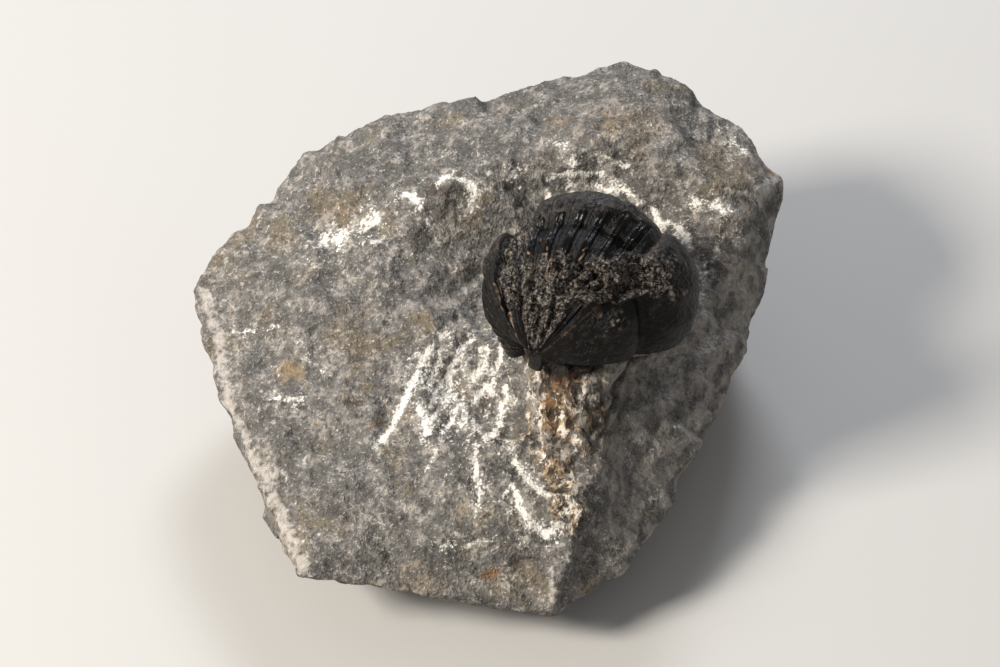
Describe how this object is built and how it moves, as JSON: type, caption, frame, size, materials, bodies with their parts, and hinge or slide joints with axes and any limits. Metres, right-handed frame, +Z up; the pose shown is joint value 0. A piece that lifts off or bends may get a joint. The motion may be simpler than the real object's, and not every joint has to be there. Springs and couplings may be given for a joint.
{
  "type": "fossil trilobite",
  "caption": "Enrolled black trilobite fossil perched on a short neck of rough grey limestone matrix, freed by air-scribe work, with a flat resting underside.",
  "frame": {"origin": "on the surface it rests on, under the middle of the whole specimen's bounding box", "axes": "+Z up, +X towards the trilobite's head, +Y away from the viewer who faces its left flank"},
  "size_m": [0.0602, 0.0574, 0.0346],
  "materials": {
    "limestone": "broken and air-scribed",
    "fossil_calcite": "satin to glossy"
  },
  "bodies": {
    "root": {"limestone_matrix": "limestone", "cephalon": "fossil_calcite", "thoracic_segment_01": "fossil_calcite", "thoracic_segment_02": "fossil_calcite", "thoracic_segment_03": "fossil_calcite", "thoracic_segment_04": "fossil_calcite", "thoracic_segment_05": "fossil_calcite", "thoracic_segment_06": "fossil_calcite", "thoracic_segment_07": "fossil_calcite", "thoracic_segment_08": "fossil_calcite", "thoracic_segment_09": "fossil_calcite", "thoracic_segment_10": "fossil_calcite", "thoracic_segment_11": "fossil_calcite", "pygidium": "fossil_calcite"}
  },
  "joints": []
}
